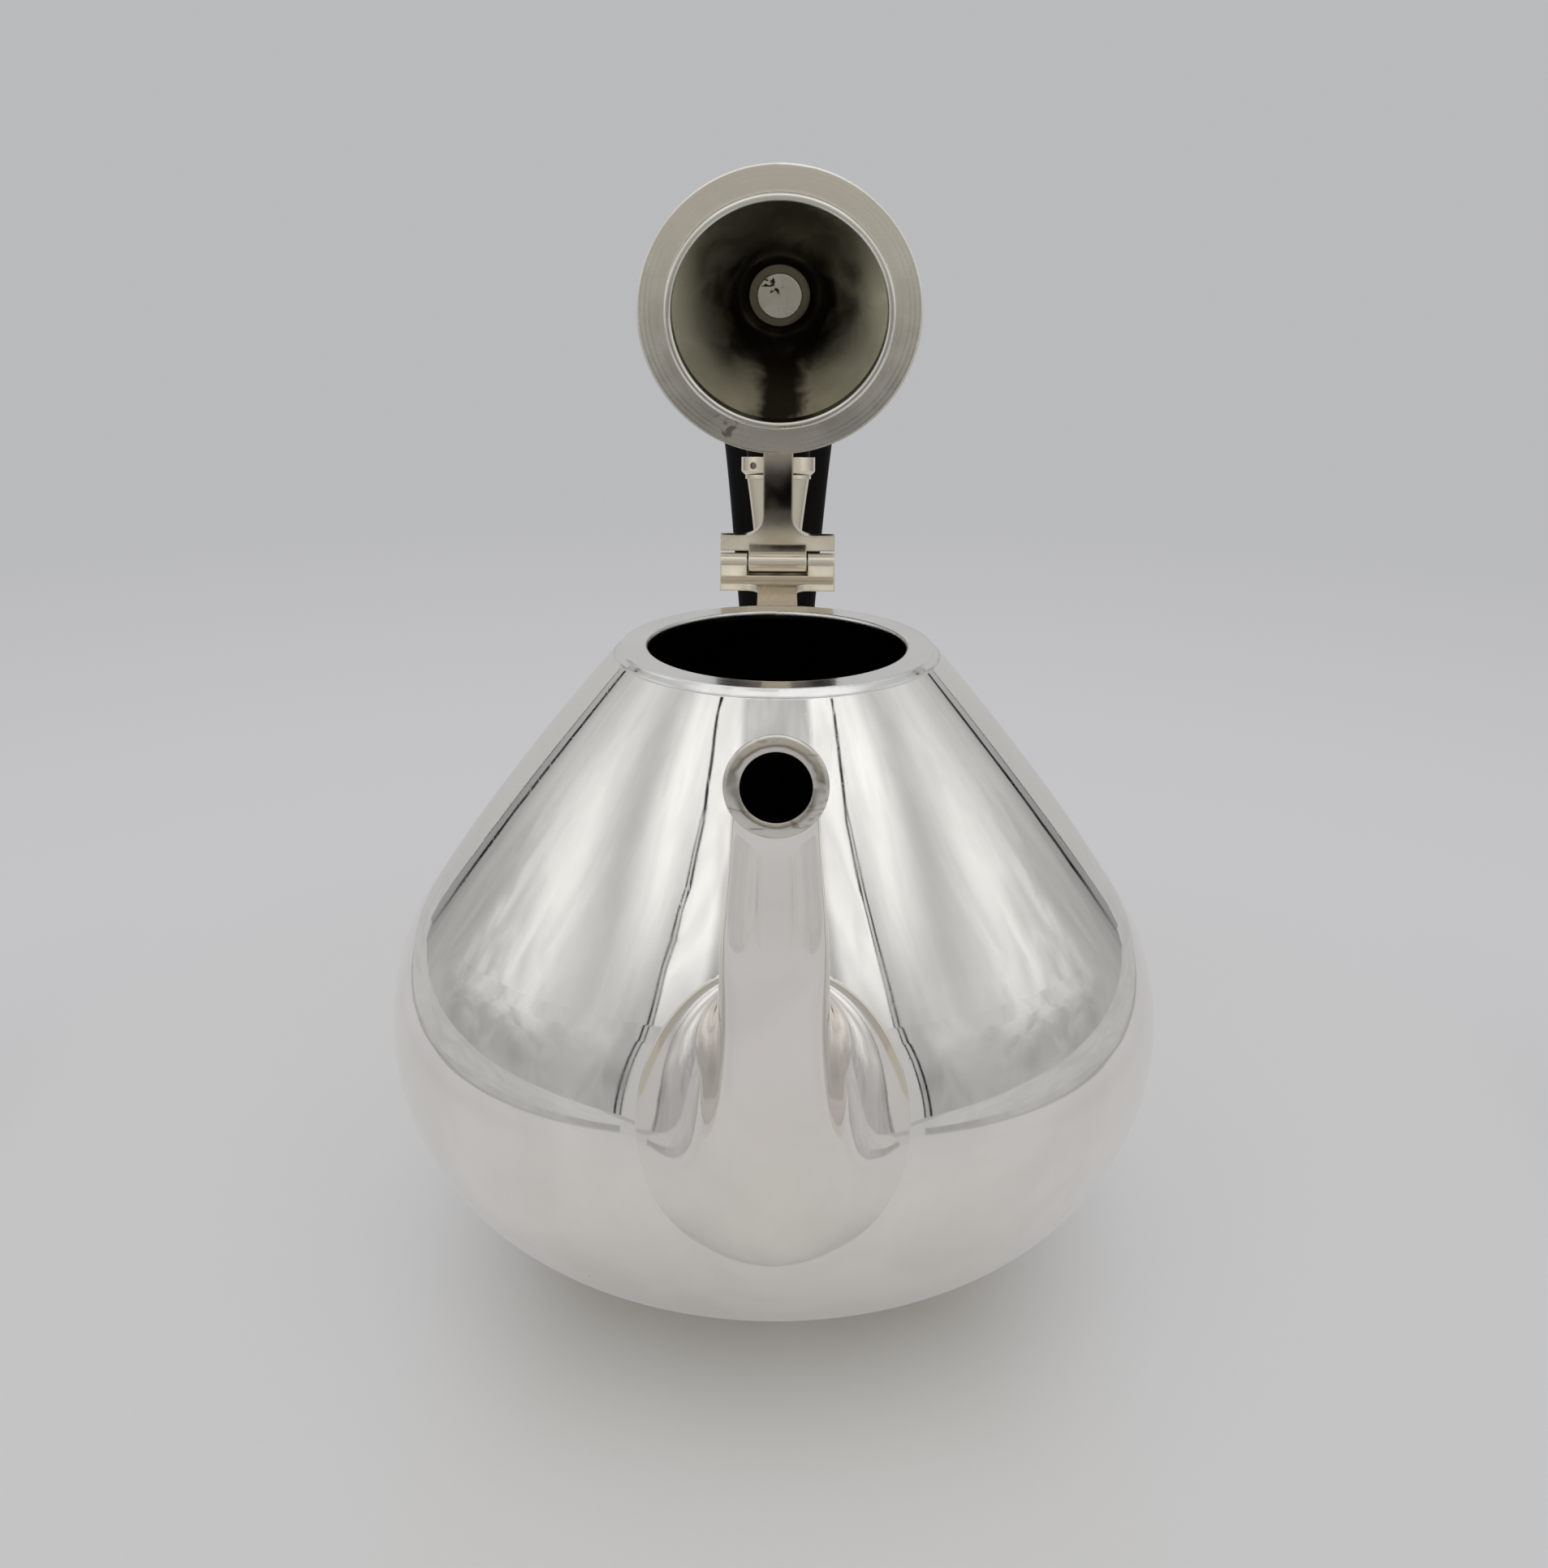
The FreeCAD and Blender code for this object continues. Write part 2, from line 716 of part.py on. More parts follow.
pot_leaf = new_body("pot_leaf_raw")
leaf_sketch = sketch_on(pot_leaf, "pot_leaf_plan", "XY_Plane", s.rim_height - s.leaf_thickness)
tee_plate(
    pot_leaf,
    leaf_sketch,
    s.mouth_radius,
    hinge_back - s.leaf_bar,
    hinge_back,
    s.neck_width / 2,
    s.leaf_thickness,
    s.neck_round,
)
block_sketch = sketch_on(pot_leaf, "pot_leaf_block", "YZ_Plane")
block_low = s.rim_height - s.leaf_thickness / 2
box_outline(block_sketch, (hinge_front, block_low), (hinge_back, hinge_height))
pad(pot_leaf, block_sketch, s.hinge_width, both_ways=True)
knuckle(pot_leaf, "pot_knuckles", s.hinge_width, "Pad", s.knuckle_radius)
slot_length = s.knuckle_length + s.knuckle_gap * 2
slot_radius = s.knuckle_radius + s.leaf_clear
knuckle(pot_leaf, "pot_leaf_seat", slot_length, "Pocket", slot_radius)
slot_sketch = sketch_on(pot_leaf, "pot_leaf_slot", "YZ_Plane")
slot_low = (hinge_front - s.leaf_clear, s.rim_height + s.lid_gap + s.flange_thickness - s.leaf_clear)
box_outline(slot_sketch, slot_low, (hinge_back + s.leaf_clear, hinge_height + slot_radius))
pad(pot_leaf, slot_sketch, slot_length, "Pocket", both_ways=True)
knuckle(pot_leaf, "pot_leaf_bore", s.hinge_width * 2, "Pocket", s.pin_radius + s.press_fit)
hinge_body_leaf = cut("hinge_body_leaf", pot_leaf, pot_form)

hinge_pin = new_body("hinge_pin")
knuckle(hinge_pin, "hinge_pin_round", s.hinge_width, "Pad", s.pin_radius)

# Lid, drawn shut and then swung open about the hinge axis.
flange_low = s.rim_height + s.lid_gap
flange_top = flange_low + s.flange_thickness
cone_top = flange_top + s.lid_height
cone_run = s.lid_radius - s.lid_top_radius
cone_wall = s.lid_wall * root(cone_run * cone_run + s.lid_height * s.lid_height) / s.lid_height
cone_inner_top = s.lid_top_radius - cone_wall + cone_run / s.lid_height * s.lid_wall
stud_hole = s.stud_radius + s.solder_gap

lid_form = ring_piece(
    "lid_form",
    [
        (0, flange_low),
        (s.lid_radius, flange_low),
        (s.lid_radius, flange_top),
        (s.lid_top_radius, cone_top),
        (0, cone_top),
    ],
)
lid_shell = ring_piece(
    "lid_shell",
    [
        (s.lid_radius - cone_wall, flange_top),
        (s.lid_radius, flange_top),
        (s.lid_top_radius, cone_top),
        (stud_hole, cone_top),
        (stud_hole, cone_top - s.lid_wall),
        (cone_inner_top, cone_top - s.lid_wall),
    ],
)
round_rim(lid_shell, s.lid_top_radius, cone_top, s.lid_top_round)
bezel_low = flange_low - s.bezel_depth
bezel_inner = s.bezel_radius - s.bezel_wall
lid_bezel = ring_piece(
    "lid_bezel",
    [
        (bezel_inner, bezel_low + s.bezel_round),
        (bezel_inner + s.bezel_round, bezel_low),
        (s.bezel_radius - s.bezel_round, bezel_low),
        (s.bezel_radius, bezel_low + s.bezel_round),
        (s.bezel_radius, flange_top),
        (bezel_inner, flange_top),
    ],
    {0: (s.bezel_round, 1), 2: (s.bezel_round, 1)},
)
flange_inner = s.bezel_radius + s.solder_gap
lid_flange = ring_piece(
    "lid_flange",
    [
        (flange_inner, flange_low),
        (s.lid_radius - s.edge_round, flange_low),
        (s.lid_radius, flange_low + s.edge_round),
        (s.lid_radius, flange_top),
        (flange_inner, flange_top),
    ],
    {1: (s.edge_round, 1)},
)
stud_top = cone_top + s.stud_grip
head_top = cone_top - s.lid_wall
head_low = head_top - s.stud_head_thickness
knob_stud = ring_piece(
    "knob_stud",
    [
        (0, head_low),
        (s.stud_head_radius - s.edge_round, head_low),
        (s.stud_head_radius, head_low + s.edge_round),
        (s.stud_head_radius, head_top),
        (s.stud_radius, head_top),
        (s.stud_radius, stud_top),
        (0, stud_top),
    ],
    {1: (s.edge_round, 1)},
)
knob_top = cone_top + s.knob_height
knob_side = knob_top - s.knob_dome
dome_bend = (s.knob_radius * s.knob_radius + s.knob_dome * s.knob_dome) / (s.knob_dome * 2)
lid_knob = ring_piece(
    "lid_knob",
    [
        (stud_hole, cone_top),
        (s.knob_foot_radius, cone_top),
        (s.knob_radius, knob_side),
        (0, knob_top),
        (0, stud_top),
        (stud_hole, stud_top),
    ],
    {1: (s.knob_waist_bend, -1), 2: (dome_bend, 1)},
)

lid_leaf = new_body("lid_leaf_raw")
arm_length = s.hinge_reach - s.arm_bar_inset - s.lid_radius
arm_sketch = section(lid_leaf, "lid_leaf_plan", (s.lid_radius, flange_top), s.arm_tilt + 90)
tee_plate(
    lid_leaf,
    arm_sketch,
    s.mouth_radius - s.lid_radius,
    arm_length - s.arm_bar,
    arm_length,
    s.arm_width / 2,
    s.arm_thickness,
    s.arm_round,
)
web_sketch = sketch_on(lid_leaf, "lid_leaf_web", "YZ_Plane")
web_low = (s.lid_radius + arm_length - s.arm_bar / 2, hinge_height)
box_outline(web_sketch, web_low, (s.hinge_reach, hinge_height + s.arm_thickness))
pad(lid_leaf, web_sketch, s.knuckle_length, both_ways=True)
knuckle(lid_leaf, "lid_knuckle", s.knuckle_length, "Pad", s.knuckle_radius)
knuckle(lid_leaf, "lid_leaf_bore", s.knuckle_length * 2, "Pocket", s.pin_radius + s.pin_fit)
hinge_lid_leaf = cut("hinge_lid_leaf", lid_leaf, lid_form)

open_cosine = cosine(s.lid_open_angle)
open_sine = sine(s.lid_open_angle)
open_y = s.hinge_reach - s.hinge_reach * open_cosine - hinge_height * open_sine
open_z = hinge_height + s.hinge_reach * open_sine - hinge_height * open_cosine
for piece in (lid_shell, lid_bezel, lid_flange, knob_stud, lid_knob, hinge_lid_leaf):
    place(piece, "Placement", (open_y, open_z), -s.lid_open_angle)

# Handle: the path leaves the upper collar, climbs, turns over the crown and runs down the back.
level = as_size(0)
grip_base = (s.grip_reach, s.rim_height + s.grip_rise)


def round_bend(spot, bend, before, after):
    """Point on a bend that turns right, from heading before to heading after."""
    return (
        spot[0] + bend * (sine(before) - sine(after)),
        spot[1] + bend * (cosine(after) - cosine(before)),
    )


rise_start = onward(grip_base, s.grip_lean, s.collar_height)
crown_start = round_bend(rise_start, s.rise_bend, s.grip_lean, level)
back_start = round_bend(crown_start, s.crown_bend, level, s.grip_back_heading)
back_end = round_bend(back_start, s.back_bend, s.grip_back_heading, s.grip_end_heading)
grip_end = onward(back_end, s.grip_end_heading, s.collar_height)
rise_middle = s.grip_lean * 0.55
crown_middle = s.grip_back_heading / 2
back_third = (s.grip_end_heading - s.grip_back_heading) / 3
back_upper = s.grip_back_heading + back_third
back_lower = back_upper + back_third

grip = new_body("grip_raw")
STATIONS = [
    (grip_base, s.grip_lean, s.grip_start_width, s.grip_end_depth),
    (rise_start, s.grip_lean, s.grip_start_width, s.grip_end_depth),
    (round_bend(rise_start, s.rise_bend, s.grip_lean, rise_middle),
     rise_middle, s.grip_rise_width, s.grip_depth),
    (crown_start, level, s.grip_top_width, s.grip_depth),
    (round_bend(crown_start, s.crown_bend, level, crown_middle),
     crown_middle, s.grip_crown_width, s.grip_depth),
    (back_start, s.grip_back_heading, s.grip_back_width, s.grip_depth),
    (round_bend(back_start, s.back_bend, s.grip_back_heading, back_upper),
     back_upper, s.grip_mid_width, s.grip_depth),
    (round_bend(back_start, s.back_bend, s.grip_back_heading, back_lower),
     back_lower, s.grip_low_width, s.grip_end_depth),
    (back_end, s.grip_end_heading, s.grip_end_width, s.grip_end_depth),
    (grip_end, s.grip_end_heading, s.grip_end_width, s.grip_end_depth),
]
grip_sections = []
for number, (spot, heading, width, depth) in enumerate(STATIONS):
    sketch = section(grip, "grip_section_%d" % number, spot, heading)
    oval(sketch, width, depth)
    grip_sections.append(sketch)
loft(grip, "grip_loft", grip_sections)
upper_tenon = section(grip, "upper_tenon", grip_base, s.grip_lean)
oval(upper_tenon, s.tenon_width, s.tenon_depth)
pad(grip, upper_tenon, s.tenon_length, flipped=True)
lower_tenon = section(grip, "lower_tenon", grip_end, s.grip_end_heading)
oval(lower_tenon, s.lower_tenon_width, s.tenon_depth)
pad(grip, lower_tenon, s.lower_tenon_length)


def collar(name, spot, heading, width, bevel_end):
    """Band round the wood at one end of the grip, bevelled towards its socket."""
    body = new_body(name)
    sketch = section(body, name + "_plan", spot, heading)
    inner_width = width + s.tenon_fit * 2
    inner_depth = s.grip_end_depth + s.tenon_fit * 2
    oval(sketch, inner_width, inner_depth)
    oval(sketch, inner_width + s.collar_wall * 2, inner_depth + s.collar_wall * 2)
    band = pad(body, sketch, s.collar_height)
    doc.recompute()
    middle = onward(spot, heading, bevel_end)
    middle = Vector(0, middle[0].value, middle[1].value)
    ends = [
        (edge.Length, "Edge%d" % number)
        for number, edge in enumerate(band.Shape.Edges, start=1)
        if edge.BoundBox.Center.distanceToPoint(middle) < 1e-3
    ]
    bevel = body.newObject("PartDesign::Chamfer", name + "_bevel")
    bevel.Base = (band, [max(ends)[1]])
    bevel.setExpression("Size", s.collar_bevel.text)
    return body


upper_band = collar("upper_band", grip_base, s.grip_lean, s.grip_start_width, level)
lower_band = collar(
    "lower_band", back_end, s.grip_end_heading, s.grip_end_width, s.collar_height
)


def socket(name, spot, heading, stations, top_width, tenon_width, mortise, flipped):
    """Tapered stem from inside the pot to a bead under the collar, with a mortise for the tenon."""
    body = new_body(name)
    bead_width = top_width + s.socket_bead * 2
    sections = []
    for number, (distance, width, depth) in enumerate(stations):
        sketch = section(body, "%s_%d" % (name, number), onward(spot, heading, distance), heading)
        oval(sketch, width, depth)
        sections.append(sketch)
    loft(body, name + "_loft", sections)
    bead = section(body, name + "_bead", spot, heading)
    oval(bead, bead_width, s.socket_depth + s.socket_bead * 2)
    pad(body, bead, s.socket_bead_height, flipped=not flipped)
    hole = section(body, name + "_mortise", spot, heading)
    oval(hole, tenon_width + s.tenon_fit * 2, s.tenon_depth + s.tenon_fit * 2)
    pad(body, hole, mortise + s.solder_gap, "Pocket", flipped=flipped)
    return body


mortise_foot = s.tenon_length + s.socket_side_wall
upper_reach = (grip_base[1] - s.belly_height) / sine(s.grip_lean)
upper_stem = socket(
    "upper_stem",
    grip_base,
    s.grip_lean,
    [
        (-upper_reach, s.socket_stem_width, s.socket_stem_depth),
        (-s.socket_taper, s.socket_stem_width, s.socket_stem_depth),
        (
            -mortise_foot,
            s.tenon_width + (s.tenon_fit + s.socket_side_wall) * 2,
            s.tenon_depth + (s.tenon_fit + s.socket_face_wall) * 2,
        ),
        (level, s.socket_width, s.socket_depth),
    ],
    s.socket_width,
    s.tenon_width,
    s.tenon_length,
    False,
)
lower_foot = s.lower_socket_width + s.lower_socket_flare
lower_reach = ((s.belly_radius + s.base_radius) / 2 - grip_end[0]) / cosine(s.grip_end_heading)
lower_stem = socket(
    "lower_stem",
    grip_end,
    s.grip_end_heading,
    [
        (level, s.lower_socket_width, s.socket_depth),
        (s.lower_socket_land, s.lower_socket_width, s.socket_depth),
        (s.lower_socket_taper, lower_foot, s.socket_depth),
        (lower_reach, lower_foot, s.socket_depth),
    ],
    s.lower_socket_width,
    s.lower_tenon_width,
    s.lower_tenon_length,
    True,
)
upper_socket = cut("upper_socket", upper_stem, pot_form)
lower_socket = cut("lower_socket", lower_stem, pot_form)


def cross_pin(name, spot, heading, turn, radius, length):
    """Rod through the middle of a collar, turned in the collar's plane."""
    rod = doc.addObject("Part::Cylinder", name)
    rod.setExpression("Radius", radius.text)
    rod.setExpression("Height", length.text)
    along = Vector(0, math.cos(math.radians(heading.value)), math.sin(math.radians(heading.value)))
    middle = Vector(0, spot[0].value, spot[1].value) + along * (s.collar_height.value / 2)
    facing = FreeCAD.Rotation(along, turn.value).multVec(X_AXIS)
    start = middle - facing * (length.value / 2)
    rod.Placement = FreeCAD.Placement(start, FreeCAD.Rotation(Z_AXIS, facing))
    return rod


upper_pin_length = s.grip_start_width + s.edge_round
lower_pin_length = s.grip_end_width + s.collar_wall * 2
hole_radius = s.cross_pin_radius + s.press_fit
drill_length = upper_pin_length * 2
upper_pin = cross_pin(
    "upper_pin", grip_base, s.grip_lean, s.cross_pin_turn, s.cross_pin_radius, upper_pin_length
)
lower_pin = cross_pin(
    "lower_pin", back_end, s.grip_end_heading, level, s.cross_pin_radius, lower_pin_length
)
upper_drill = cross_pin(
    "upper_drill", grip_base, s.grip_lean, s.cross_pin_turn, hole_radius, drill_length
)
lower_drill = cross_pin(
    "lower_drill", back_end, s.grip_end_heading, level, hole_radius, drill_length
)
drills = doc.addObject("Part::MultiFuse", "drills")
drills.Shapes = [upper_drill, lower_drill]
handle_grip = cut("handle_grip", grip, drills)
upper_collar = cut("upper_collar", upper_band, drills)
lower_collar = cut("lower_collar", lower_band, drills)

doc.recompute()

PIECES = [
    body_shell, base_plate, rim_ring, spout_tube, spout_lip, spout_strainer,
    hinge_body_leaf, hinge_pin, handle_grip, upper_socket, upper_collar, upper_pin,
    lower_socket, lower_collar, lower_pin,
    lid_shell, lid_flange, lid_bezel, hinge_lid_leaf, lid_knob, knob_stud,
]
for item in doc.Objects:
    if "Invalid" in item.State or "Error" in item.State:
        raise RuntimeError("%s did not build: %s" % (item.Name, item.State))
os.makedirs("parts", exist_ok=True)
for piece in PIECES:
    if piece.Shape.isNull() or not piece.Shape.isValid():
        raise RuntimeError("%s has no sound shape" % piece.Label)
    piece.Shape.exportStep("parts/%s.step" % piece.Label)
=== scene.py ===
import math

import bpy
from mathutils import Matrix, Vector

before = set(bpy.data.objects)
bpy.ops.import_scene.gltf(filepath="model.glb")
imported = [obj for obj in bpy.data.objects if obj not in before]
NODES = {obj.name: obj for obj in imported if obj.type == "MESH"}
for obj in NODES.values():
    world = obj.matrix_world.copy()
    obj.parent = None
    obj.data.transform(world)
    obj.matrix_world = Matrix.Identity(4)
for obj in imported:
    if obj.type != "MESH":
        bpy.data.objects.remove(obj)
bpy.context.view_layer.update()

# Camera, in metres and degrees; the focal length is in pixels of the 1907 pixel wide picture.
PICTURE_WIDTH = 1907
FOCAL_PIXELS = 2800
CAMERA_PLACE = Vector((-0.0003, -0.3888, 0.2189))
CAMERA_PITCH = 18.96
CAMERA_ROLL = 0.5
SENSOR_WIDTH = 36.0

# The lid's hinge: turning the open lid by this angle about this point shuts it.
HINGE_PLACE = (0.0, 0.0492, 0.1145)
LID_TURN = math.radians(91)

MM = 0.001


class Paint:
    """One node tree, with a short call for each kind of node that the materials use."""

    def __init__(self, tree):
        self.tree = tree
        tree.nodes.clear()

    def node(self, kind, inputs, **properties):
        """Adds a node; an input is a plain value or another node's output."""
        made = self.tree.nodes.new("ShaderNode" + kind)
        for name, value in properties.items():
            setattr(made, name, value)
        for name, value in inputs.items():
            if isinstance(value, bpy.types.NodeSocket):
                self.tree.links.new(value, made.inputs[name])
            else:
                made.inputs[name].default_value = value
        return made

    def math(self, operation, *values):
        return self.node("Math", dict(enumerate(values)), operation=operation).outputs[0]

    def vector(self, operation, *values):
        made = self.node("VectorMath", dict(enumerate(values)), operation=operation)
        single = operation in ("DOT_PRODUCT", "LENGTH", "DISTANCE")
        return made.outputs["Value" if single else "Vector"]

    def split(self, vector):
        return self.node("SeparateXYZ", {0: vector}).outputs

    def join(self, x, y, z):
        return self.node("CombineXYZ", {0: x, 1: y, 2: z}).outputs[0]

    def turned(self, vector, centre, angle):
        """The vector turned about the X axis."""
        return self.node(
            "VectorRotate", {"Vector": vector, "Center": centre, "Angle": angle}, rotation_type="X_AXIS"
        ).outputs[0]

    def span(self, value, start, end, low=0.0, high=1.0):
        """Goes smoothly from low to high while the value goes from start to end."""
        made = self.node(
            "MapRange",
            {"Value": value, "From Min": start, "From Max": end, "To Min": low, "To Max": high},
            interpolation_type="SMOOTHSTEP",
        )
        return made.outputs[0]

    def noise(self, place, scale, detail=2.0, distortion=0.0):
        inputs = {"Vector": place, "Scale": scale, "Detail": detail, "Distortion": distortion}
        return self.node("TexNoise", inputs).outputs[0]

    def spots(self, place, scale, radius, share):
        """Round spots, one at most in each cell; share is the part of the cells that have one."""
        cells = self.node("TexVoronoi", {"Vector": place, "Scale": scale})
        near = self.span(cells.outputs["Distance"], radius * scale, radius * scale * 0.5)
        chosen = self.math("LESS_THAN", self.split(cells.outputs["Color"])[0], share)
        return self.math("MULTIPLY", near, chosen)

    def mix(self, factor, first, second):
        """Blends two colours."""
        made = self.node("Mix", {0: factor, 6: first, 7: second}, data_type="RGBA")
        return made.outputs[2]

    def bump(self, height, distance, normal):
        inputs = {"Height": height, "Distance": distance, "Strength": 1.0}
        if normal is not None:
            inputs["Normal"] = normal
        return self.node("Bump", inputs).outputs[0]

    def show(self, shader):
        self.node("OutputMaterial", {0: shader.outputs[0]})


def colour(red, green, blue):
    return (red, green, blue, 1.0)


def new_paint(name):
    material = bpy.data.materials.new(name)
    material.use_nodes = True
    return material, Paint(material.node_tree)


# Silver: colours of its tarnish, and the painted reflections and shade on the lid's inner face from its foot
# to its tip.
TARNISH = colour(0.16, 0.125, 0.075)
PIT = colour(0.10, 0.08, 0.06)
LID_FOOT = colour(0.86, 0.83, 0.70)
LID_HINGE_SHADE = colour(0.47, 0.45, 0.38)
LID_DARK_REFLECTION = colour(0.030, 0.025, 0.019)
LID_TIP_REFLECTION = colour(0.16, 0.146, 0.11)
LID_FAR_REFLECTION = colour(0.60, 0.565, 0.42)
# Tea stain for the pot's hollow, made nearly black as painted shade.
TEA_DARK_AND_SHADE = colour(0.012, 0.010, 0.007)
TEA_PALE_AND_SHADE = colour(0.05, 0.042, 0.03)
# The spout's bore: painted shade.
BORE_SHADE_DARK = colour(0.008, 0.007, 0.005)
BORE_SHADE_PALE = colour(0.03, 0.025, 0.018)
# Flange stain, also used for the flange's painted dark reflection near the hinge.
FLANGE_STAIN_AND_REFLECTION = colour(0.11, 0.085, 0.075)
LIP_CREASE = colour(0.12, 0.08, 0.06)
BURN = colour(0.03, 0.02, 0.015)

# Where marks lie on the shut lid, in metres.
STAIN_PLACE = (-0.0100, 0.0214, 0.0)
BURN_PLACE = (-0.0009, -0.0025, 0.0)
FLAT = (1.0, 1.0, 0.0)


def silver(
    name,
    tint,
    gloss,
    wave=0.03,
    swell=52.0,
    soft=0.35,
    scratch=1.0,
    recess=0.003,
    joined=False,
    pits=0.15,
    stains_and_painted_shade=None,
    lathe=None,
):
    """Worn silver.

    tint: its clean colour; gloss: least and greatest roughness; wave: depth in mm of the hammer's
    unevenness, and swell: how many waves a metre; soft: radius in mm of the worn edges; scratch: how
    strong the rubbing marks are; recess: the size in metres of the corners in which tarnish stays, and
    joined: whether the corners against other pieces count too; pits: share of the surface's cells that
    have a small pit; stains_and_painted_shade: called with the paint, gives a mask, a colour and a
    roughness laid over the silver, stains on some pieces and painted shade and painted reflections on
    others; lathe: called with the paint, gives the place seen along the axis that the piece was turned
    on, for its fine rings.
    """
    material, paint = new_paint(name)
    coordinates = paint.node("TexCoord", {})
    place = coordinates.outputs["Object"]
    clean = colour(*tint)
    dull = colour(*(0.93 * value for value in tint))
    bright = colour(*(min(1.0, 1.06 * value) for value in tint))

    soft_edge = paint.node("Bevel", {"Radius": soft * MM}, samples=4).outputs[0]
    flat_normal = paint.node("NewGeometry", {}).outputs["Normal"]
    edge = paint.span(paint.vector("DOT_PRODUCT", soft_edge, flat_normal), 0.99, 0.90)

    shelter = paint.node("AmbientOcclusion", {"Distance": recess}, samples=4, only_local=not joined)
    cloud = paint.noise(place, 42.0, 4.0, 0.6)
    stained = paint.math("ADD", shelter.outputs["AO"], paint.span(cloud, 0.3, 0.7, -0.12, 0.12))
    stained = paint.span(stained, 0.62, 0.30)

    # Rubbing marks: long in two directions and very thin across.
    length_wise = paint.noise(paint.vector("MULTIPLY", place, (2600.0, 160.0, 420.0)), 1.0, 3.0, 0.4)
    cross_wise = paint.noise(paint.vector("MULTIPLY", place, (240.0, 1900.0, 2300.0)), 1.0, 3.0, 0.4)
    rubbed = paint.math("MAXIMUM", paint.span(length_wise, 0.58, 0.72), paint.span(cross_wise, 0.6, 0.74))
    rubbed = paint.math("MULTIPLY", rubbed, paint.span(cloud, 0.35, 0.65))
    if lathe is not None:
        around = paint.vector("LENGTH", paint.vector("MULTIPLY", lathe(paint, coordinates), FLAT))
        ring = paint.noise(paint.join(paint.math("MULTIPLY", around, 2200.0), 0.0, 0.0), 1.0, 2.0)
        rubbed = paint.math("MAXIMUM", rubbed, paint.span(ring, 0.40, 0.64))

    pitted = paint.spots(place, 95.0, 0.3 * MM, pits)

    shade = paint.mix(paint.span(cloud, 0.32, 0.68), dull, clean)
    shade = paint.mix(edge, shade, bright)
    shade = paint.mix(paint.math("MULTIPLY", stained, 0.85), shade, TARNISH)
    shade = paint.mix(paint.math("MULTIPLY", pitted, 0.7), shade, PIT)
    rough = paint.span(paint.noise(place, 130.0, 5.0), 0.3, 0.7, gloss[0], gloss[1])
    rough = paint.math("ADD", rough, paint.math("MULTIPLY", rubbed, 0.10 * scratch))
    rough = paint.math("ADD", rough, paint.math("MULTIPLY", stained, 0.25))

    # Stains laid over the silver, and on some pieces painted shade and painted reflections.
    if stains_and_painted_shade is not None:
        mask, laid_shade, laid_rough = stains_and_painted_shade(paint, coordinates)
        shade = paint.mix(mask, shade, laid_shade)
        rough = paint.math("MAXIMUM", rough, paint.math("MULTIPLY", mask, laid_rough))

    normal = paint.bump(paint.noise(place, swell, 2.0), wave * MM, soft_edge)
    normal = paint.bump(rubbed, 0.0012 * scratch * MM, normal)
    shader = paint.node(
        "BsdfPrincipled", {"Base Color": shade, "Metallic": 1.0, "Roughness": rough, "Normal": normal}
    )
    paint.show(shader)
    return material


def tea_stain_and_shade(paint, coordinates):
    """Colour and roughness of silver steeped dark by tea, made nearly black as painted shade."""
    mottle = paint.noise(coordinates.outputs["Object"], 120.0, 4.0)
    return paint.mix(mottle, TEA_DARK_AND_SHADE, TEA_PALE_AND_SHADE), paint.span(mottle, 0.3, 0.7, 0.35, 0.5)


def pot_inside(paint, coordinates):
    """The wall's face towards the pot's axis."""
    axis_to_wall = paint.vector("MULTIPLY", coordinates.outputs["Object"], FLAT)
    outward = paint.vector("DOT_PRODUCT", axis_to_wall, coordinates.outputs["Normal"])
    mask = paint.math("LESS_THAN", outward, 0.0)
    return mask, *tea_stain_and_shade(paint, coordinates)


def base_inside(paint, coordinates):
    """The base plate's upper face, seen through the mouth."""
    mask = paint.math("GREATER_THAN", paint.split(coordinates.outputs["Normal"])[2], 0.5)
    return mask, *tea_stain_and_shade(paint, coordinates)


def spout_bore_shade(paint, coordinates):
    """The bore, painted dark as shade where the tube's own wall shuts out the light."""
    shelter = paint.node("AmbientOcclusion", {"Distance": 0.03}, samples=6, only_local=True)
    mask = paint.span(shelter.outputs["AO"], 0.32, 0.12)
    mottle = paint.noise(coordinates.outputs["Object"], 200.0, 3.0)
    shade = paint.mix(mottle, BORE_SHADE_DARK, BORE_SHADE_PALE)
    return mask, shade, paint.span(mottle, 0.3, 0.7, 0.4, 0.55)


def lid_frame(paint, coordinates):
    """Place and normal as they are on the shut lid, whose axis is the pot's."""
    place = paint.turned(coordinates.outputs["Object"], HINGE_PLACE, LID_TURN)
    normal = paint.turned(coordinates.outputs["Normal"], (0.0, 0.0, 0.0), LID_TURN)
    return place, normal


def pot_axis(paint, coordinates):
    return coordinates.outputs["Object"]


def lid_axis(paint, coordinates):
    return lid_frame(paint, coordinates)[0]


